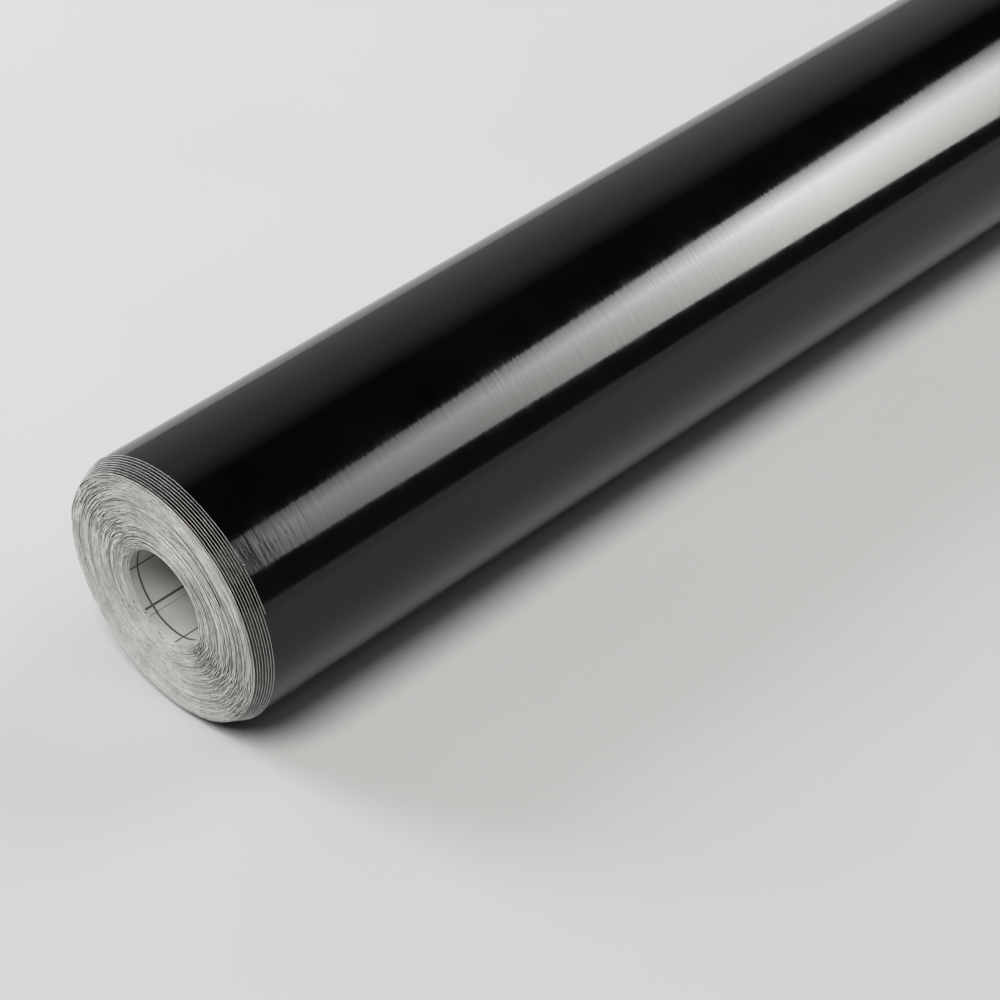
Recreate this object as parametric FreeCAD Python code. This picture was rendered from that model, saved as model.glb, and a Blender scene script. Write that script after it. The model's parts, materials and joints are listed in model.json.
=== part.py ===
import FreeCAD, Part
import math
import os

# A coreless roll of self-adhesive sign vinyl lying on its side, in millimetres.
# The web has three bonded layers: black face film outside, adhesive, paper release liner inside.
# It winds clockwise inwards, seen along +X, from its cut tail edge to its inner end at the hole.
# +X runs along the roll, +Z is up, and the origin is under the middle of the roll, on the table.

# Web
WEB_WIDTH = 610.0
FILM = 0.065
ADHESIVE = 0.025
LINER = 0.135
WEB = FILM + ADHESIVE + LINER

# Coil: the tight middle of the roll, whose turns touch
HOLE_RADIUS = 11.2
TIGHT_HALF_TURNS = 161
INNER_END_ANGLE = 35.0

# Outer wraps with a little play between them, each further out one pushed further along +X
LOOSE_WRAPS = 8
LOOSE_PITCH = 0.24
WRAP_STEP = 0.54

# Free end of the outermost wrap. Its arcs are short, so that the facets of a mesh stay inside its layers.
TAIL_ANGLE = 161.0
TAIL_ARC = 86.0
FLAP_ARC = 50.0
SHORT_ARC = 2.0
RELEASE_GAP = 0.005

HALF_TURN = 180.0
TURN = 360.0


def turning(rho, pitch, start, stop, longest=HALF_TURN):
    """Arcs of a spiral that winds inwards from radius rho at the tail's angle, as semicircles about two
    centres in turn. start and stop are degrees wound since the tail's angle, and longest cuts the arcs
    shorter. Each arc is its centre's distance from the roll's axis towards the tail, its radius and its
    two angles."""
    arcs = []
    first = rho - pitch / 4
    at = start
    while at < stop - 1e-9:
        half = int(at // HALF_TURN)
        end = min(stop, (half + 1) * HALF_TURN, at + longest)
        offset = pitch / 4 if half % 2 == 0 else -pitch / 4
        arcs.append((offset, first - half * pitch / 2, TAIL_ANGLE - at, TAIL_ANGLE - end))
        at = end
    return arcs


def on_arc(arc, depth, angle):
    """A point on an arc, depth millimetres inside it, in the YZ plane through the roll's axis."""
    offset, radius = arc[0], arc[1] - depth
    tail = math.radians(TAIL_ANGLE)
    turn = math.radians(angle)
    y = offset * math.cos(tail) + radius * math.cos(turn)
    z = offset * math.sin(tail) + radius * math.sin(turn)
    return FreeCAD.Vector(0, y, z)


def arc_edge(arc, depth, first, last):
    """One circular edge at a depth inside an arc, from one angle to another."""
    ends = on_arc(arc, depth, first), on_arc(arc, depth, last)
    middle = on_arc(arc, depth, (first + last) / 2)
    return Part.Arc(ends[0], middle, ends[1]).toShape()


def cut_edge(arc, depth, other_depth, angle):
    """The straight edge across a layer where the web is cut."""
    return Part.LineSegment(on_arc(arc, depth, angle), on_arc(arc, other_depth, angle)).toShape()


def layer(arcs, outside, inside, near):
    """A strip between two depths under a spiral's arcs, as wide as the web, from X = near."""
    edges = [arc_edge(arc, outside, arc[2], arc[3]) for arc in arcs]
    last, first = arcs[-1], arcs[0]
    edges.append(cut_edge(last, outside, inside, last[3]))
    edges += [arc_edge(arc, inside, arc[3], arc[2]) for arc in reversed(arcs)]
    edges.append(cut_edge(first, inside, outside, first[2]))
    face = Part.Face(Part.Wire(edges))
    strip = face.extrude(FreeCAD.Vector(WEB_WIDTH, 0, 0))
    strip.translate(FreeCAD.Vector(near, 0, 0))
    return strip


def web(name, arcs, near):
    """The three bonded layers along a spiral's arcs."""
    return {
        name + "_film": layer(arcs, 0, FILM, near),
        name + "_adhesive": layer(arcs, FILM, FILM + ADHESIVE, near),
        name + "_liner": layer(arcs, FILM + ADHESIVE, WEB, near),
    }


near_end = -(WEB_WIDTH + LOOSE_WRAPS * WRAP_STEP) / 2
tight_degrees = TIGHT_HALF_TURNS * HALF_TURN + INNER_END_ANGLE
# The last whole half turn lines the hole at HOLE_RADIUS.
tight_radius = HOLE_RADIUS + WEB + WEB / 4 + (TIGHT_HALF_TURNS - 1) * WEB / 2
roll_radius = tight_radius + LOOSE_WRAPS * LOOSE_PITCH

nodes = web("coil", turning(tight_radius, WEB, 0, tight_degrees), near_end)

for wrap in range(1, LOOSE_WRAPS + 1):
    rho = tight_radius + wrap * LOOSE_PITCH
    near = near_end + wrap * WRAP_STEP
    start = TAIL_ARC if wrap == LOOSE_WRAPS else 0
    nodes.update(web("wrap_%d" % wrap, turning(rho, LOOSE_PITCH, start, TURN), near))

# The tail's liner reaches the cut edge. Its film and adhesive stop where the flap begins.
tail_near = near_end + LOOSE_WRAPS * WRAP_STEP
whole_tail = turning(roll_radius, LOOSE_PITCH, 0, TAIL_ARC, SHORT_ARC)
bonded = turning(roll_radius, LOOSE_PITCH, FLAP_ARC, TAIL_ARC, SHORT_ARC)
peeling = turning(roll_radius, LOOSE_PITCH, 0, FLAP_ARC, SHORT_ARC)
nodes["tail_film"] = layer(bonded, 0, FILM, tail_near)
nodes["tail_adhesive"] = layer(bonded, FILM, FILM + ADHESIVE, tail_near)
nodes["tail_liner"] = layer(whole_tail, FILM + ADHESIVE, WEB, tail_near)
nodes["flap_film"] = layer(peeling, 0, FILM, tail_near)
nodes["flap_adhesive"] = layer(peeling, FILM, FILM + ADHESIVE - RELEASE_GAP, tail_near)

# The outermost wrap's two arcs set how high the axis stands, and how far it is from the box's middle.
upper, lower = turning(roll_radius, LOOSE_PITCH, 0, TURN)
tail = math.radians(TAIL_ANGLE)
axis_height = lower[1] - lower[0] * math.sin(tail)
left = lower[0] * math.cos(tail) - lower[1]
right = upper[0] * math.cos(tail) + upper[1]
axis_side = -(left + right) / 2

os.makedirs("parts", exist_ok=True)
for name, shape in nodes.items():
    shape.translate(FreeCAD.Vector(0, axis_side, axis_height))
    if not (shape.isValid() and len(shape.Solids) == 1):
        raise ValueError(name + " isn't one valid solid")
    shape.exportStep("parts/%s.step" % name)
liner_volume = sum(nodes[name].Volume for name in nodes if name.endswith("liner"))
print("web length in mm:", round(liner_volume / LINER / WEB_WIDTH))
print("outer radius %.3f, axis at y %.4f, z %.4f" % (roll_radius, axis_side, axis_height))
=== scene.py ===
"""Looks of a coreless roll of black sign vinyl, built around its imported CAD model.

Lengths are in millimetres until a mesh or an object is made, and then in metres. Wall angles are degrees in
the YZ plane round the roll's axis, from +Y towards +Z. The web winds inwards as that angle falls, and wound
is how far it has turned, in degrees, since its cut tail edge.
"""
import json
import math

import bpy
import numpy as np
from mathutils import Matrix, Vector


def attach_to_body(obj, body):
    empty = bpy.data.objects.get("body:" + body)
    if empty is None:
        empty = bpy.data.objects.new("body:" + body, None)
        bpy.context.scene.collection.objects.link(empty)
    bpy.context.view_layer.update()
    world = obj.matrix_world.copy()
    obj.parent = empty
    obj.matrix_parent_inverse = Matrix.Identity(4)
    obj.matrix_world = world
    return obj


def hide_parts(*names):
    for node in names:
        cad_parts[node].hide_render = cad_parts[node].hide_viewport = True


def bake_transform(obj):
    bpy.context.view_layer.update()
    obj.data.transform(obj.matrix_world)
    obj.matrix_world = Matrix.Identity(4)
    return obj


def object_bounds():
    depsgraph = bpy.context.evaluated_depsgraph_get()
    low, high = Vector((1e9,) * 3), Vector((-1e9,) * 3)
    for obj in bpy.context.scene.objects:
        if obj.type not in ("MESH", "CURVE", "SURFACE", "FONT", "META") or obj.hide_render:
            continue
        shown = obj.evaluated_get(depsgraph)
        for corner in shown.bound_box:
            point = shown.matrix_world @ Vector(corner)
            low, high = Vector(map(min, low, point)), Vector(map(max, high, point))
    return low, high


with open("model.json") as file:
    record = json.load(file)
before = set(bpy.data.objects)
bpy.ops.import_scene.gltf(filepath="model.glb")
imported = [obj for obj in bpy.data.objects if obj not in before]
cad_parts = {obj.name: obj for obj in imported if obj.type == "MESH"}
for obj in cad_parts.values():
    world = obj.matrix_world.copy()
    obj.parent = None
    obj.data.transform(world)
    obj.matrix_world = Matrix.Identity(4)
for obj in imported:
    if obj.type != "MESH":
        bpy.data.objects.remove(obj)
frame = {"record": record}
cad_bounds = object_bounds()

# The web and its winding, as in the CAD model
MM = 0.001
TURN = 360.0
FILM = 0.065
ADHESIVE = 0.025
LINER = 0.135
WEB = FILM + ADHESIVE + LINER
COIL_HALF_TURNS = 161
COIL_WOUND = COIL_HALF_TURNS * TURN / 2 + 35.0
LOOSE_WRAPS = 8
LOOSE_PITCH = 0.24
WRAP_STEP = 0.54
TAIL_ANGLE = 161.0
TAIL_ARC = 86.0
FLAP_ARC = 50.0

hole = next(m for m in frame["record"]["mounts"] if m["name"] == "hole")
WIDTH = hole["dims"]["length_mm"]
AXIS_Y = hole["pos_m"][1] / MM
AXIS_Z = hole["pos_m"][2] / MM
NEAR_END = hole["pos_m"][0] / MM - WIDTH / 2
HOLE_RADIUS = hole["dims"]["r_mm"]
COIL_RADIUS = HOLE_RADIUS + WEB + WEB / 4 + (COIL_HALF_TURNS - 1) * WEB / 2
ROLL_RADIUS = COIL_RADIUS + LOOSE_WRAPS * LOOSE_PITCH
RIM_X = NEAR_END + LOOSE_WRAPS * WRAP_STEP

# The cut edges of the web. Film and adhesive stand back from the liner's edge by the inset. The liner's back
# edge is bevelled. Its burr ends at the lip's depth under the film's outer side, and the gap is how far the
# burr's tip stands back and how far its root stays off the adhesive.
EDGE_INSET = 0.06
BACK_EDGE_INSET = 0.04
BACK_EDGE_DEPTH = 0.03
BURR_GAP = 0.008
LIP_DEPTH = 0.032
LIP_LEAST = 0.015
# The coil's face sinks towards the hole
FUNNEL_DEPTH = 0.85
FUNNEL_WIDTH = 2.6
# Two opposite stretches of the face with crushed, rougher edges: wall angle of each middle
CRUSHED_ANGLES = [40.0, 215.0]
CRUSHED_HALF_ARC = 17.0
# The tail's edge curls up a little, over an arc in degrees
CURL_ARC = 2.4
CURL_HEIGHT = 0.03
# How much thinner the flap's adhesive is, where it peels off the liner
RELEASE_GAP = 0.005
# Bends of the free end, in degrees round the roll
TAIL_BEND = 30.0
FLAP_BEND = 24.0
# Random relief of an edge: height, spacing in degrees of winding, and seed
FINE_RELIEF = [(0.036, 7.0, 3), (0.028, 2.6, 5)]
COIL_WAVES = (0.045, 38.0, 4)
WRAP_WAVES = (0.035, 40.0, 4)
LIP_WAVES = (0.022, 9.0, 21)
WRAP_RELIEF_LIMIT = 0.12
# Shares of the fine relief: what a loose wrap has, what all the coil has, and what a crushed middle adds
WRAP_SHARE = 0.5
CALM_SHARE = 0.6
CRUSHED_SHARE = 4.0
# Broad rings in the coil's face. Their height grows with this power of the wavelength.
RIDGE_WAVELENGTHS = [4.1, 2.9, 2.1, 1.6, 1.2, 0.95]
RIDGE_HEIGHT = 0.038
RIDGE_GROWTH = 0.7
RIDGE_SEED = 11
# Short gaps where a turn's edge has slipped back: radius, wall angle of the middle, half the arc
SLIPPED_TURNS = [(23.5, 64.0, 12.0), (22.1, 114.5, 6.0), (22.75, 148.0, 7.0), (26.5, 347.0, 5.0)]
SLIP_DEPTH = 1.1
# Loose paper fibres on the coil's face. The margins keep their roots off the hole and the coil's outside.
FIBRE_COUNT = 1000
FIBRE_SEED = 31
FIBRE_HOLE_MARGIN = 0.6
FIBRE_OUTER_MARGIN = 1.2
FIBRE_LENGTHS = (0.25, 0.8)
FIBRE_WIDTHS = (0.04, 0.08)
FIBRE_ROOTS = (-0.04, 0.06)
FIBRE_SPREAD = 0.35
FIBRE_LIFTS = (0.1, 0.4)
# The torn sliver at the tail: its wall angle and size
SPUR_ANGLE = 140.0
SPUR_LENGTH = 1.7
SPUR_WIDTH = 0.22
# Degrees of winding from one row of a mesh to the next
COIL_STEP = 2.5
FINE_STEP = 1.0
TAIL_STEP = 0.5

# The liner's printed grid
GRID = 10.0
GRID_LINE = 0.44
GRID_HEAVY_LINE = 0.52
GRID_HEAVY_EVERY = 5
GRID_FIRST_ALONG = 1.6
GRID_FIRST_ACROSS = 2.95


# ---------------------------------------------------------------- the web's shape

class Path:
    """A run of web: how far it has wound, and from that its place in the roll, one row per step. Its radius
    falls by pitch a turn and its near edge moves by drift a turn. tilt is the slope of its outer side, and
    along is the length of web from the inner end."""

    def __init__(self, outer_radius, pitch, start, stop, step, turns_outside, near, drift=0.0, curl=False):
        count = max(2, int(round((stop - start) / step)) + 1)
        self.wound = np.linspace(start, stop, count)
        self.angle = np.radians(TAIL_ANGLE - self.wound)
        self.radius = outer_radius - pitch * self.wound / TURN
        self.tilt = np.full(count, pitch / (2 * math.pi * outer_radius))
        if curl:
            left = np.clip(1 - self.wound / CURL_ARC, 0, None)
            self.radius += CURL_HEIGHT * left ** 2
            slope = 2 * CURL_HEIGHT * left / CURL_ARC
            self.tilt += np.degrees(slope) / outer_radius
        self.turned = self.wound + turns_outside * TURN
        self.near = near + drift * self.wound / TURN
        self.along = web_length(self.turned)


def web_length(turned):
    """Millimetres of web from its inner end to a place, for the liner's back."""
    total = LOOSE_WRAPS * TURN + COIL_WOUND
    loose = np.clip(turned, None, LOOSE_WRAPS * TURN)
    tight = np.clip(turned - LOOSE_WRAPS * TURN, 0, None)

    def swept(outer, pitch, degrees):
        turn = np.radians(degrees)
        return outer * turn - pitch * turn ** 2 / (4 * math.pi)

    def from_tail(loose_part, tight_part):
        outer = swept(ROLL_RADIUS - WEB, LOOSE_PITCH, loose_part)
        return outer + swept(COIL_RADIUS - WEB, WEB, tight_part)

    return from_tail(LOOSE_WRAPS * TURN, total - LOOSE_WRAPS * TURN) - from_tail(loose, tight)


def smooth_noise(place, spacing, seed):
    """A random curve through normally distributed values, one every spacing."""
    at = np.asarray(place) / spacing
    cell = np.floor(at).astype(int)
    part = at - cell
    part = part * part * (3 - 2 * part)
    low = cell.min()
    values = np.random.default_rng(seed).normal(size=cell.max() - min(low, 0) + 3)
    return values[cell - min(low, 0)] * (1 - part) + values[cell - min(low, 0) + 1] * part


def scaled_noise(path, height, spacing, seed):
    """Noise that runs on from one turn and one piece of the web to the next."""
    return height * smooth_noise(path.turned, spacing, seed)


def ridges(radius, angle):
    """Broad rings that the winding left in the coil's face."""
    rng = np.random.default_rng(RIDGE_SEED)
    height = np.zeros_like(radius)
    for wavelength in RIDGE_WAVELENGTHS:
        lean = rng.integers(1, 4)
        phase = rng.uniform(0, 2 * math.pi, 2)
        fade = 0.6 + 0.4 * np.cos(lean * angle + phase[0])
        ring = np.cos(2 * math.pi * radius / wavelength + phase[1])
        height += RIDGE_HEIGHT * wavelength ** RIDGE_GROWTH * fade * ring
    return height


def crushed(angle):
    """1 in the middle of a crushed stretch, falling to 0 round it."""
    amount = np.zeros_like(angle)
    for middle in CRUSHED_ANGLES:
        away = (np.degrees(angle) - middle + TURN / 2) % TURN - TURN / 2
        amount += np.exp(-(away / CRUSHED_HALF_ARC) ** 2)
    return amount


def edge_relief(path, loose):
    """How far the web's edge stands back from its straight place, along a path."""
    fine = sum(scaled_noise(path, *relief) for relief in FINE_RELIEF)
    if loose:
        waves = scaled_noise(path, *WRAP_WAVES)
        return np.clip(WRAP_SHARE * fine + waves, -WRAP_RELIEF_LIMIT, WRAP_RELIEF_LIMIT)
    relief = ridges(path.radius, path.angle) + scaled_noise(path, *COIL_WAVES)
    relief += fine * (CALM_SHARE + CRUSHED_SHARE * crushed(path.angle))
    into_funnel = np.clip(1 - (path.radius - HOLE_RADIUS) / FUNNEL_WIDTH, 0, 1)
    relief += FUNNEL_DEPTH * into_funnel ** 2
    for radius, middle, half_arc in SLIPPED_TURNS:
        into_turn = (TAIL_ANGLE - middle) % TURN
        turns = round((COIL_RADIUS - radius) / WEB - into_turn / TURN)
        away = np.abs(path.wound - into_turn - turns * TURN) / half_arc
        relief += SLIP_DEPTH * np.clip(1 - away ** 2, 0, None)
    return relief


# ---------------------------------------------------------------- meshes

def strip(name, path, section, sides, sharp, materials, analytic=False):
    """A closed strip of one layer. section lists (depth, inset) points at the near end, from inside to
    outside, and is mirrored at the far end. sides has one material index for each edge of the whole
    section. sharp lists the near points whose edges along the web are sharp."""
    rows = len(path.wound)
    near = [(np.broadcast_to(d, rows), path.near + i) for d, i in section]
    far = [(np.broadcast_to(d, rows), path.near + WIDTH - i) for d, i in reversed(section)]
    points = near + far
    columns = len(points)
    depth = np.stack([p[0] for p in points], 1)
    x = np.stack([np.broadcast_to(p[1], rows) for p in points], 1)
    radius = path.radius[:, None] - depth
    y = AXIS_Y + radius * np.cos(path.angle)[:, None]
    z = AXIS_Z + radius * np.sin(path.angle)[:, None]
    vertices = np.stack([x, y, z], -1).reshape(-1, 3) * MM

    row = np.arange(rows - 1)[:, None] * columns
    column = np.arange(columns)[None, :]
    following = (column + 1) % columns
    quads = np.stack([row + column, row + following, row + columns + following, row + columns + column], -1)
    quads = quads.reshape(-1, 4)
    first_cap = np.arange(columns)[::-1]
    last_cap = (rows - 1) * columns + np.arange(columns)

    mesh = bpy.data.meshes.new(name)
    corners = np.concatenate([quads.ravel(), first_cap, last_cap])
    starts = np.concatenate([np.arange(len(quads)) * 4, [len(quads) * 4, len(quads) * 4 + columns]])
    mesh.vertices.add(len(vertices))
    mesh.vertices.foreach_set("co", vertices.ravel())
    mesh.loops.add(len(corners))
    mesh.loops.foreach_set("vertex_index", corners.astype(np.int32))
    mesh.polygons.add(len(starts))
    mesh.polygons.foreach_set("loop_start", starts.astype(np.int32))
    cap_side = sides[0]
    slots = np.concatenate([np.tile(sides, rows - 1), [cap_side, cap_side]])
    mesh.polygons.foreach_set("material_index", slots.astype(np.int32))
    mesh.polygons.foreach_set("use_smooth", np.ones(len(starts), bool))
    mesh.update(calc_edges=True)

    web = mesh.uv_layers.new(name="web")
    along = np.repeat(path.along, columns)
    across = (x - path.near[:, None]).ravel()
    web.data.foreach_set("uv", np.stack([along[corners], across[corners]], -1).ravel())

    ends = np.zeros(len(mesh.edges) * 2, np.int32)
    mesh.edges.foreach_get("vertices", ends)
    ends = ends.reshape(-1, 2)
    same_column = ends[:, 0] % columns == ends[:, 1] % columns
    mirrored = set(sharp) | {columns - 1 - s for s in sharp}
    is_sharp = same_column & np.isin(ends[:, 0] % columns, list(mirrored))
    for cap_row in (0, rows - 1):
        is_sharp |= (ends // columns == cap_row).all(1)
    attribute = mesh.attributes.new("sharp_edge", "BOOLEAN", "EDGE")
    attribute.data.foreach_set("value", is_sharp)
    for material in materials:
        mesh.materials.append(material)
    if analytic:
        set_round_normals(mesh, path, quads, corners, columns)
    return link(name, mesh)


def set_round_normals(mesh, path, quads, corners, columns):
    """Exact normals on a film's outer side, so that its reflections run on across the seams of pieces."""
    normals = np.zeros(len(corners) * 3, np.float32)
    mesh.corner_normals.foreach_get("vector", normals)
    normals = normals.reshape(-1, 3)
    row = corners // columns
    side = np.full(len(corners), -1)
    # The section's middle edge, between its near and far halves, is the outer side
    side[:len(quads) * 4] = np.repeat(np.tile(np.arange(columns), len(quads) // columns), 4)
    outside = side == columns // 2 - 1
    lean = path.angle[row] - path.tilt[row]
    round_normals = np.stack([np.zeros(len(row)), np.cos(lean), np.sin(lean)], -1)
    normals[outside] = round_normals[outside]
    mesh.normals_split_custom_set(normals.tolist())


def link(name, data):
    """A new object in the scene, made from a mesh, a light or a camera."""
    piece = bpy.data.objects.new(name, data)
    bpy.context.scene.collection.objects.link(piece)
    return piece


# ---------------------------------------------------------------- node helpers

def new_material(name):
    material = bpy.data.materials.new(name)
    material.use_nodes = True
    nodes = material.node_tree.nodes
    return material, nodes, material.node_tree.links, nodes["Principled BSDF"]


def math_node(nodes, links, operation, first, second=None):
    node = nodes.new("ShaderNodeMath")
    node.operation = operation
    for socket, value in zip(node.inputs, (first, second)):
        if value is None:
            continue
        if isinstance(value, (int, float)):
            socket.default_value = value
        else:
            links.new(value, socket)
    return node.outputs[0]


def web_noise(nodes, links, along, across, detail=2.0, roughness=0.5):
    """Noise in web coordinates, with features that are so many millimetres along and across."""
    uv = nodes.new("ShaderNodeUVMap")
    uv.uv_map = "web"
    mapping = nodes.new("ShaderNodeMapping")
    mapping.inputs["Scale"].default_value = (1 / along, 1 / across, 1)
    links.new(uv.outputs["UV"], mapping.inputs["Vector"])
    return plain_noise(nodes, links, mapping.outputs["Vector"], 1.0, detail, roughness)


def object_noise(nodes, links, size, detail=2.0, roughness=0.5):
    """Noise in object coordinates, with features that are so many millimetres across."""
    place = nodes.new("ShaderNodeTexCoord")
    return plain_noise(nodes, links, place.outputs["Object"], 1 / (size * MM), detail, roughness)


def plain_noise(nodes, links, vector, scale, detail, roughness):
    noise = nodes.new("ShaderNodeTexNoise")
    noise.inputs["Scale"].default_value = scale
    noise.inputs["Detail"].default_value = detail
    noise.inputs["Roughness"].default_value = roughness
    links.new(vector, noise.inputs["Vector"])
    return noise.outputs["Fac"]


def ramp(nodes, links, factor, stops):
    node = nodes.new("ShaderNodeValToRGB")
    elements = node.color_ramp.elements
    while len(elements) < len(stops):
        elements.new(0.5)
    for element, (position, colour) in zip(elements, stops):
        element.position = position
        element.color = (*colour, 1)
    links.new(factor, node.inputs["Fac"])
    return node.outputs["Color"]


def bump(nodes, links, height, distance_mm, before=None):
    node = nodes.new("ShaderNodeBump")
    node.inputs["Distance"].default_value = distance_mm * MM
    links.new(height, node.inputs["Height"])
    if before is not None:
        links.new(before, node.inputs["Normal"])
    return node.outputs["Normal"]


def grey(value):
    return (value, value, value)


# ---------------------------------------------------------------- materials

def film_material():
    """Black gloss PVC film: faint ripples round the roll, orange peel and a little dust."""
    material, nodes, links, shader = new_material("film_gloss_black")
    shader.inputs["IOR"].default_value = 1.46
    tone = ramp(nodes, links, object_noise(nodes, links, 18.0), [
        (0.3, (0.0012, 0.0012, 0.0015)), (0.7, (0.0026, 0.0025, 0.0029))])
    links.new(tone, shader.inputs["Base Color"])
    sheen = ramp(nodes, links, web_noise(nodes, links, 14.0, 5.0, 3.0), [
        (0.3, grey(0.07)), (0.75, grey(0.12))])
    links.new(sheen, shader.inputs["Roughness"])
    ripples = bump(nodes, links, web_noise(nodes, links, 9.0, 1.2, 1.0), 0.013)
    peel = bump(nodes, links, web_noise(nodes, links, 1.6, 0.7, 2.0), 0.005, ripples)
    links.new(peel, shader.inputs["Normal"])
    return material


def adhesive_material():
    """Clear tacky acrylic on black film: dark, glossy and slightly mottled."""
    material, nodes, links, shader = new_material("adhesive_tacky")
    shader.inputs["IOR"].default_value = 1.47
    tone = ramp(nodes, links, object_noise(nodes, links, 3.0, 4.0), [
        (0.3, (0.10, 0.10, 0.10)), (0.7, (0.20, 0.20, 0.19))])
    links.new(tone, shader.inputs["Base Color"])
    gloss = ramp(nodes, links, object_noise(nodes, links, 1.2, 3.0), [(0.3, grey(0.28)), (0.7, grey(0.5))])
    links.new(gloss, shader.inputs["Roughness"])
    links.new(bump(nodes, links, object_noise(nodes, links, 0.8, 3.0), 0.02), shader.inputs["Normal"])
    return material


def paper_edge_material():
    """Cut edges of the liner: fibrous, with streaks that follow the turns."""
    material, nodes, links, shader = new_material("liner_cut_edge")
    streaks = web_noise(nodes, links, 2.6, 0.6, 4.0, 0.7)
    blotches = object_noise(nodes, links, 5.0, 3.0)
    mixed = math_node(nodes, links, "ADD", math_node(nodes, links, "MULTIPLY", streaks, 0.65),
                      math_node(nodes, links, "MULTIPLY", blotches, 0.35))
    tone = ramp(nodes, links, mixed, [
        (0.34, (0.36, 0.36, 0.335)), (0.48, (0.66, 0.66, 0.63)), (0.64, (0.88, 0.88, 0.86))])
    links.new(tone, shader.inputs["Base Color"])
    rough = ramp(nodes, links, blotches, [(0.3, grey(0.72)), (0.7, grey(0.9))])
    links.new(rough, shader.inputs["Roughness"])
    fibres = bump(nodes, links, object_noise(nodes, links, 0.35, 4.0, 0.7), 0.10)
    links.new(fibres, shader.inputs["Normal"])
    return material


def grid_mask(nodes, links):
    """1 on the printed lines of a 10 mm grid, 0 between them. Every fifth line across the web is heavier."""
    uv = nodes.new("ShaderNodeUVMap")
    uv.uv_map = "web"
    split = nodes.new("ShaderNodeSeparateXYZ")
    links.new(uv.outputs["UV"], split.inputs["Vector"])
    along, across = split.outputs["X"], split.outputs["Y"]
    line_sets = [
        (along, GRID_FIRST_ALONG, GRID, GRID_LINE),
        (across, GRID_FIRST_ACROSS, GRID, GRID_LINE),
        (along, GRID_FIRST_ALONG, GRID * GRID_HEAVY_EVERY, GRID_HEAVY_LINE)]
    mask = 0.0
    # A line is as wide as its width where the mask has fallen to a half
    for place, first, spacing, width in line_sets:
        moved = math_node(nodes, links, "SUBTRACT", place, first)
        away = math_node(nodes, links, "PINGPONG", moved, spacing / 2)
        edge = nodes.new("ShaderNodeMapRange")
        edge.interpolation_type = "SMOOTHSTEP"
        edge.inputs["From Min"].default_value = width * 0.38
        edge.inputs["From Max"].default_value = width * 0.62
        edge.inputs["To Min"].default_value = 1.0
        edge.inputs["To Max"].default_value = 0.0
        links.new(away, edge.inputs["Value"])
        mask = math_node(nodes, links, "MAXIMUM", edge.outputs["Result"], mask)
    return mask


def liner_back_material():
    """The liner's back, which shows in the hole: matte paper with a printed grey grid."""
    material, nodes, links, shader = new_material("liner_printed_back")
    tone = ramp(nodes, links, object_noise(nodes, links, 7.0, 3.0), [
        (0.3, (0.42, 0.42, 0.395)), (0.7, (0.49, 0.49, 0.465))])
    ink = ramp(nodes, links, object_noise(nodes, links, 0.4, 3.0), [
        (0.3, (0.035, 0.035, 0.034)), (0.7, (0.075, 0.075, 0.072))])
    mix = nodes.new("ShaderNodeMix")
    mix.data_type = "RGBA"
    links.new(grid_mask(nodes, links), mix.inputs["Factor"])
    links.new(tone, mix.inputs["A"])
    links.new(ink, mix.inputs["B"])
    links.new(mix.outputs["Result"], shader.inputs["Base Color"])
    rough = ramp(nodes, links, object_noise(nodes, links, 2.0), [(0.3, grey(0.62)), (0.7, grey(0.78))])
    links.new(rough, shader.inputs["Roughness"])
    links.new(bump(nodes, links, object_noise(nodes, links, 0.6, 3.0), 0.008), shader.inputs["Normal"])
    return material


def liner_release_material():
    """The liner's siliconised side, under the adhesive: smooth and slightly shiny."""
    material, nodes, links, shader = new_material("liner_release_side")
    tone = ramp(nodes, links, object_noise(nodes, links, 9.0, 3.0), [
        (0.3, (0.78, 0.78, 0.76)), (0.7, (0.84, 0.84, 0.82))])
    links.new(tone, shader.inputs["Base Color"])
    rough = ramp(nodes, links, object_noise(nodes, links, 4.0), [(0.3, grey(0.26)), (0.7, grey(0.36))])
    links.new(rough, shader.inputs["Roughness"])
    links.new(bump(nodes, links, object_noise(nodes, links, 1.4, 2.0), 0.004), shader.inputs["Normal"])
    return material


film_look = film_material()
adhesive_look = adhesive_material()
liner_looks = [paper_edge_material(), liner_back_material(), liner_release_material()]

# ---------------------------------------------------------------- pieces

# Material index of each edge of a layer's section: near points, outer side, far points, inner side
PLAIN_SIDES = [0, 0, 0, 0]
LINER_SIDES = [0, 0, 0, 2, 0, 0, 0, 1]
LINER_SHARP = [0, 3]
PLAIN_SHARP = [0, 1]


def film_piece(name, path, loose, smooth=False):
    """Its cut edges stand a little back from the liner's."""
    relief = edge_relief(path, loose) + EDGE_INSET
    section = [(FILM, relief), (0.0, relief)]
    return strip(name, path, section, PLAIN_SIDES, PLAIN_SHARP, [film_look], smooth)


def adhesive_piece(name, path, loose, thinner=0.0):
    """It fills the space between film and liner, and is thinner where it peels off."""
    relief = edge_relief(path, loose) + EDGE_INSET
    section = [(FILM + ADHESIVE - thinner, relief), (FILM, relief)]
    return strip(name, path, section, PLAIN_SIDES, PLAIN_SHARP, [adhesive_look])


def liner_piece(name, path, loose):
    """Its cut edges have a burr that leans out over the adhesive and part of the film."""
    relief = edge_relief(path, loose)
    lip = np.clip(LIP_DEPTH + scaled_noise(path, *LIP_WAVES), LIP_LEAST, FILM)
    section = [(WEB, relief + BACK_EDGE_INSET), (WEB - BACK_EDGE_DEPTH, relief), (lip, relief + BURR_GAP),
               (FILM + ADHESIVE, relief + EDGE_INSET - BURR_GAP)]
    return strip(name, path, section, LINER_SIDES, LINER_SHARP, liner_looks)


def attach(piece, body, node):
    """A rigid piece that stands for one CAD node."""
    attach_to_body(piece, body)
    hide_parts(node)


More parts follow.
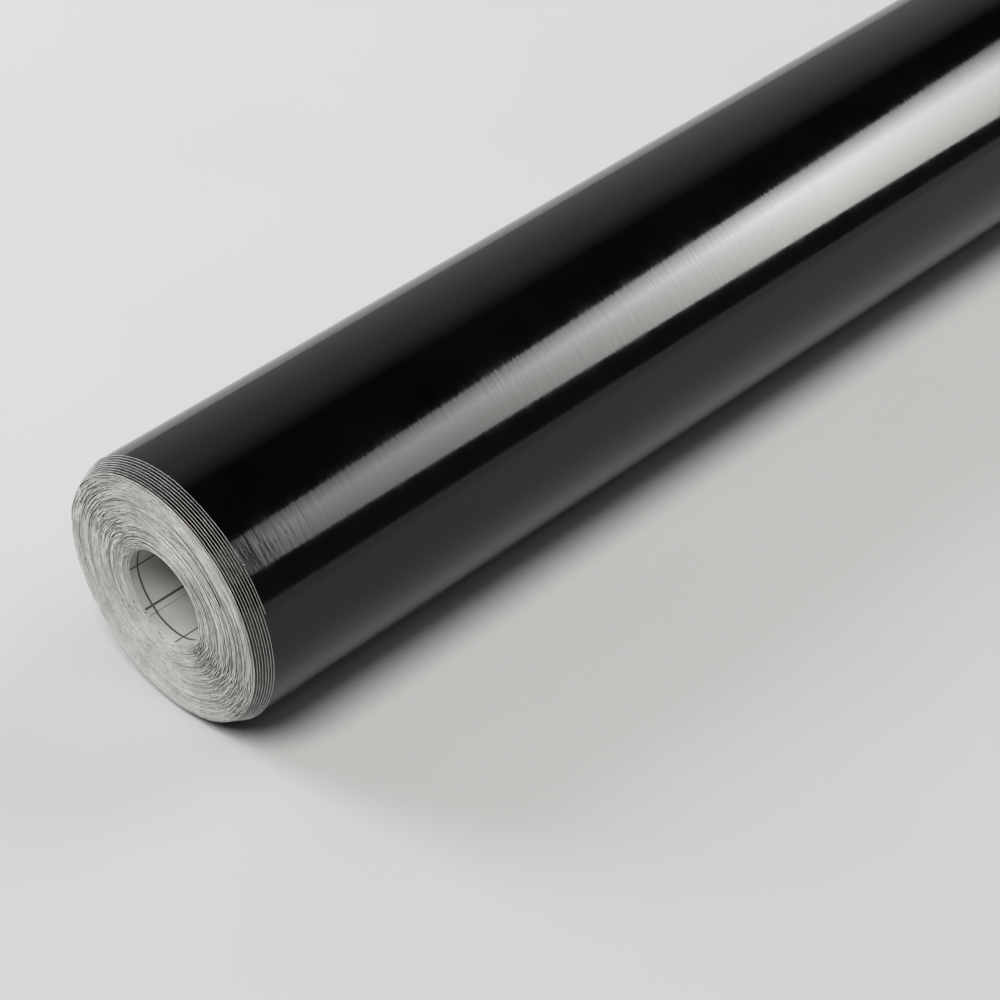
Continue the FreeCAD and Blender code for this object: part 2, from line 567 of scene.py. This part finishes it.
def coil_path(start, stop, step):
    """A run of the coil, which lies inside all the loose wraps."""
    return Path(COIL_RADIUS, WEB, start, stop, step, LOOSE_WRAPS, NEAR_END)


def build_coil():
    inner_start = COIL_WOUND - TURN
    whole = coil_path(0.0, COIL_WOUND, COIL_STEP)
    attach(film_piece("coil_film_web", whole, False), "coil", "coil_film")
    attach(adhesive_piece("coil_adhesive_web", whole, False), "coil", "coil_adhesive")
    turns = liner_piece("coil_liner_web", coil_path(0.0, inner_start, COIL_STEP), False)
    attach(turns, "coil", "coil_liner")
    inner = liner_piece("coil_liner_inner_turn", coil_path(inner_start, COIL_WOUND, FINE_STEP), False)
    attach(inner, "coil", "coil_liner")


def wrap_path(wrap, start=0.0, stop=TURN, step=FINE_STEP, curl=False):
    """A loose wrap drifts along the roll as it winds, by one step a turn."""
    rho = COIL_RADIUS + wrap * LOOSE_PITCH
    near = NEAR_END + wrap * WRAP_STEP
    return Path(rho, LOOSE_PITCH, start, stop, step, LOOSE_WRAPS - wrap, near, -WRAP_STEP, curl)


def build_wraps():
    for wrap in range(1, LOOSE_WRAPS + 1):
        outermost = wrap == LOOSE_WRAPS
        path = wrap_path(wrap, TAIL_ARC if outermost else 0.0)
        body = f"wrap_{wrap}"
        attach(film_piece(f"{body}_film_web", path, True, True), body, f"{body}_film")
        attach(adhesive_piece(f"{body}_adhesive_web", path, True), body, f"{body}_adhesive")
        attach(liner_piece(f"{body}_liner_web", path, True), body, f"{body}_liner")


def attach_bent(piece, bodies, start, stop, slot, node):
    """A piece that keeps the place it was built in: its place is baked into its mesh, and the CAD node it
    stands for is hidden.
    """
    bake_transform(piece)
    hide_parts(node)


def build_free_end():
    whole = wrap_path(LOOSE_WRAPS, 0.0, TAIL_ARC, TAIL_STEP, curl=True)
    bonded = wrap_path(LOOSE_WRAPS, FLAP_ARC, TAIL_ARC, FINE_STEP, curl=True)
    peeling = wrap_path(LOOSE_WRAPS, 0.0, FLAP_ARC, TAIL_STEP, curl=True)
    root = TAIL_ANGLE - TAIL_ARC
    crease = TAIL_ANGLE - FLAP_ARC
    tail = (("wrap_8", "tail"), root, root + TAIL_BEND)
    flap = (("tail", "flap"), crease, crease + FLAP_BEND)
    attach_bent(film_piece("tail_film_web", bonded, True, True), *tail, "film", "tail_film")
    attach_bent(adhesive_piece("tail_adhesive_web", bonded, True), *tail, "adhesive", "tail_adhesive")
    attach_bent(liner_piece("tail_liner_web", whole, True), *tail, "liner", "tail_liner")
    attach_bent(film_piece("flap_film_web", peeling, True, True), *flap, "film", "flap_film")
    thin = adhesive_piece("flap_adhesive_web", peeling, True, RELEASE_GAP)
    attach_bent(thin, *flap, "adhesive", "flap_adhesive")


def slivers(name, roots, directions, lifts, lengths, widths):
    """Small torn fibres: each is a three-sided sliver with a bend in its middle and a pointed tip. lengths
    and widths are in millimetres, and a lift is how steeply a sliver rises from its direction."""
    # The root's ring and the middle's: share of the length, share of the lift, and share of the width
    rings = ((0.0, 0.0, 1.0), (0.5, 0.35, 0.75))
    tip_rise = 0.4
    triangle = ((-0.5, 0.0), (0.5, 0.0), (0.0, 0.5))
    vertices = []
    faces = []
    for root, along, lift, length, width in zip(roots, directions, lifts, lengths, widths):
        side = along.cross(lift)
        first = len(vertices)
        for reach, rise, scale in rings:
            centre = root + along * length * reach + lift * length * rise
            for across, up in triangle:
                vertices.append((centre + side * across * width * scale + lift * up * width * scale) * MM)
        vertices.append((root + along * length + lift * length * tip_rise) * MM)
        for a, b in ((0, 1), (1, 2), (2, 0)):
            faces.append((first + a, first + b, first + b + 3, first + a + 3))
            faces.append((first + a + 3, first + b + 3, first + 6))
        faces.append((first + 2, first + 1, first))
    mesh = bpy.data.meshes.new(name)
    mesh.from_pydata([tuple(v) for v in vertices], [], faces)
    uv = mesh.uv_layers.new(name="web")
    for loop in mesh.loops:
        place = mesh.vertices[loop.vertex_index].co / MM
        uv.data[loop.index].uv = (place.y + place.z, place.x)
    mesh.materials.append(liner_looks[0])
    return link(name, mesh)


def build_face_fibres():
    """Loose paper fibres that lie roughly along the turns on the coil's near face."""
    rng = np.random.default_rng(FIBRE_SEED)
    roots, directions, lifts = [], [], []
    lengths = rng.uniform(*FIBRE_LENGTHS, FIBRE_COUNT)
    widths = rng.uniform(*FIBRE_WIDTHS, FIBRE_COUNT)
    least = (HOLE_RADIUS + FIBRE_HOLE_MARGIN) ** 2
    most = (COIL_RADIUS - FIBRE_OUTER_MARGIN) ** 2
    for _ in range(FIBRE_COUNT):
        radius = math.sqrt(rng.uniform(least, most))
        angle = rng.uniform(0, 2 * math.pi)
        outward = Vector((0, math.cos(angle), math.sin(angle)))
        tangent = Vector((0, -math.sin(angle), math.cos(angle))) * rng.choice((-1, 1))
        sink = FUNNEL_DEPTH * max(0.0, 1 - (radius - HOLE_RADIUS) / FUNNEL_WIDTH) ** 2
        x = NEAR_END + sink + rng.uniform(*FIBRE_ROOTS)
        roots.append(Vector((x, AXIS_Y, AXIS_Z)) + outward * radius)
        directions.append((tangent + outward * rng.normal(0, FIBRE_SPREAD)).normalized())
        lifts.append(Vector((-rng.uniform(*FIBRE_LIFTS), 0, 0)))
    piece = slivers("coil_face_fibres", roots, directions, lifts, lengths, widths)
    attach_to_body(piece, "coil")


def build_tail_spur():
    """One torn sliver of paper that stands out from the tail's near edge."""
    angle = math.radians(SPUR_ANGLE)
    outward = Vector((0, math.cos(angle), math.sin(angle)))
    root = Vector((RIM_X, AXIS_Y, AXIS_Z)) + outward * (ROLL_RADIUS - WEB)
    along = (outward * 0.9 + Vector((0.35, 0, -0.25))).normalized()
    piece = slivers("tail_edge_spur", [root], [along], [Vector((-1, 0, 0))], [SPUR_LENGTH], [SPUR_WIDTH])
    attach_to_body(piece, "tail")


build_coil()
build_wraps()
build_free_end()
build_face_fibres()
build_tail_spur()

# ---------------------------------------------------------------- the stage

# Under the middle of the near rim, at the frame's zero height, in metres
RIM = Vector((RIM_X * MM, AXIS_Y * MM, 0.0))


def stage_quad(name, corners, material):
    """A flat four-cornered panel with its own coordinates, which run from 0 to 1 both ways."""
    mesh = bpy.data.meshes.new(name)
    mesh.from_pydata([tuple(c) for c in corners], [], [(0, 1, 2, 3)])
    uv = mesh.uv_layers.new(name="panel")
    for loop, place in zip(uv.data, ((0, 0), (1, 0), (1, 1), (0, 1))):
        loop.uv = place
    mesh.materials.append(material)
    panel = link(name, mesh)
    return panel


def stage_card(name, corners, material):
    """A glowing card that the camera doesn't see and that casts no shadow."""
    card = stage_quad(name, corners, material)
    card.visible_camera = False
    card.visible_shadow = False
    return card


def floor_material():
    material, nodes, links, shader = new_material("stage_pale_floor")
    tone = ramp(nodes, links, object_noise(nodes, links, 160.0), [
        (0.3, (0.59, 0.59, 0.59)), (0.7, (0.61, 0.61, 0.61))])
    links.new(tone, shader.inputs["Base Color"])
    shader.inputs["Roughness"].default_value = 0.9
    shader.inputs["Specular IOR Level"].default_value = 0.1
    return material


def card_material(name, along_stops, across_stops, strength):
    """A glow that changes along the card and across it."""
    material = bpy.data.materials.new(name)
    material.use_nodes = True
    nodes = material.node_tree.nodes
    links = material.node_tree.links
    nodes.clear()
    uv = nodes.new("ShaderNodeUVMap")
    uv.uv_map = "panel"
    split = nodes.new("ShaderNodeSeparateXYZ")
    links.new(uv.outputs["UV"], split.inputs["Vector"])
    along = ramp(nodes, links, split.outputs["X"], along_stops)
    across = ramp(nodes, links, split.outputs["Y"], across_stops)
    mix = nodes.new("ShaderNodeMix")
    mix.data_type = "RGBA"
    mix.blend_type = "MULTIPLY"
    mix.inputs["Factor"].default_value = 1.0
    links.new(along, mix.inputs["A"])
    links.new(across, mix.inputs["B"])
    emission = nodes.new("ShaderNodeEmission")
    emission.inputs["Strength"].default_value = strength
    links.new(mix.outputs["Result"], emission.inputs["Color"])
    output = nodes.new("ShaderNodeOutputMaterial")
    links.new(emission.outputs["Emission"], output.inputs["Surface"])
    return material


def build_floor():
    half = 6.0
    z = cad_bounds[0].z
    corners = [(-half, -half, z), (half, -half, z), (half, half, z), (-half, half, z)]
    stage_quad("floor", corners, floor_material())


def build_softbox():
    """The long bright card that the film reflects along the roll's front. It lights no matte surface. Its
    corners are measured from RIM. first and last say where it starts and stops, as shares of the way from
    the near corners to the far ones."""
    near_low = Vector((0.471, -0.842, 0.419))
    near_high = Vector((0.460, -0.553, 0.762))
    far_low = Vector((0.851, -0.625, 0.225))
    far_high = Vector((0.829, -0.229, 0.702))
    first, last = -0.015, 1.35
    low, high = far_low - near_low, far_high - near_high
    corners = [near_low + first * low, near_low + last * low,
               near_high + last * high, near_high + first * high]
    look = card_material(
        "stage_softbox",
        [(0.0, grey(0.27)), (0.22, grey(0.42)), (0.37, grey(0.64)),
         (0.56, grey(1.0)), (0.78, grey(0.75)), (1.0, grey(0.15))],
        [(0.0, (0.56, 0.55, 0.53)), (0.30, (0.78, 0.77, 0.74)),
         (0.62, (0.98, 0.98, 1.0)), (1.0, grey(0.36))],
        strength=19.0)
    panel = stage_card("softbox", [RIM + c for c in corners], look)
    panel.visible_diffuse = False


def build_back_card():
    """A large dim card behind the roll, for the sheen along its top. Its corners are measured from RIM."""
    start, stop = -0.2, 2.6
    low, high = (1.29, 0.0), (0.34, 1.28)
    corners = [(start, *low), (stop, *low), (stop, *high), (start, *high)]
    look = card_material(
        "stage_back_card", [(0.0, grey(0.9)), (1.0, grey(1.0))],
        [(0.0, grey(0.75)), (0.4, grey(1.0)), (0.7, grey(0.85)), (1.0, grey(0.0))], strength=0.46)
    stage_card("back_card", [RIM + Vector(c) for c in corners], look)


def sun_light(name, direction, softness, strength, colour):
    light = bpy.data.lights.new(name, "SUN")
    light.energy = strength
    light.angle = math.radians(softness)
    light.color = colour
    lamp = link(name, light)
    lamp.rotation_euler = direction.to_track_quat("-Z", "Y").to_euler()
    return lamp


def area_light(name, place, target, size, power, colour):
    light = bpy.data.lights.new(name, "AREA")
    light.shape = "SQUARE"
    light.size = size
    light.energy = power
    light.color = colour
    lamp = link(name, light)
    lamp.location = place
    lamp.rotation_euler = (target - place).to_track_quat("-Z", "Y").to_euler()


def build_lights():
    end = RIM + Vector((0, 0, AXIS_Z * MM))
    down = Vector((0.42, 0.20, -0.89))
    sun_light("key_light", down, softness=28.0, strength=2.6, colour=(1.0, 0.99, 0.96))
    back = Vector((-0.78, 0.22, -0.58))
    fill = sun_light("fill_light", back, softness=40.0, strength=0.75, colour=grey(1.0))
    fill.visible_glossy = False
    cool = RIM + Vector((-0.36, 1.08, 0.80))
    area_light("cool_light", cool, end, size=0.5, power=8.0, colour=(0.91, 0.90, 1.0))


def build_world():
    world = bpy.data.worlds.new("studio")
    bpy.context.scene.world = world
    world.use_nodes = True
    nodes = world.node_tree.nodes
    links = world.node_tree.links
    place = nodes.new("ShaderNodeTexCoord")
    split = nodes.new("ShaderNodeSeparateXYZ")
    links.new(place.outputs["Generated"], split.inputs["Vector"])
    sky = ramp(nodes, links, split.outputs["Z"], [
        (0.0, grey(0.06)), (0.35, grey(0.04)), (0.6, grey(0.008)), (1.0, grey(0.006))])
    links.new(sky, nodes["Background"].inputs["Color"])


def build_camera():
    """Placed from RIM in roll radii, and turned by its pitch, yaw and roll in degrees."""
    pitch, yaw, roll = (math.radians(a) for a in (38.15, 47.12, -3.11))
    camera = bpy.data.cameras.new("camera")
    camera.sensor_width = 36.0
    camera.lens = 101.6
    camera.clip_end = 20.0
    eye = link("camera", camera)
    forward = Vector((math.cos(pitch) * math.cos(yaw), math.cos(pitch) * math.sin(yaw), -math.sin(pitch)))
    level = Vector((math.sin(yaw), -math.cos(yaw), 0))
    upright = level.cross(forward)
    right = level * math.cos(roll) + upright * math.sin(roll)
    up = right.cross(forward)
    turned = Matrix((right, up, -forward)).transposed().to_4x4()
    place = RIM + Vector((-8.219, -12.041, 12.921)) * ROLL_RADIUS * MM
    eye.matrix_world = Matrix.Translation(place) @ turned
    bpy.context.scene.camera = eye


build_floor()
build_softbox()
build_back_card()
build_lights()
build_world()
build_camera()
bpy.context.scene.view_settings.view_transform = "Standard"
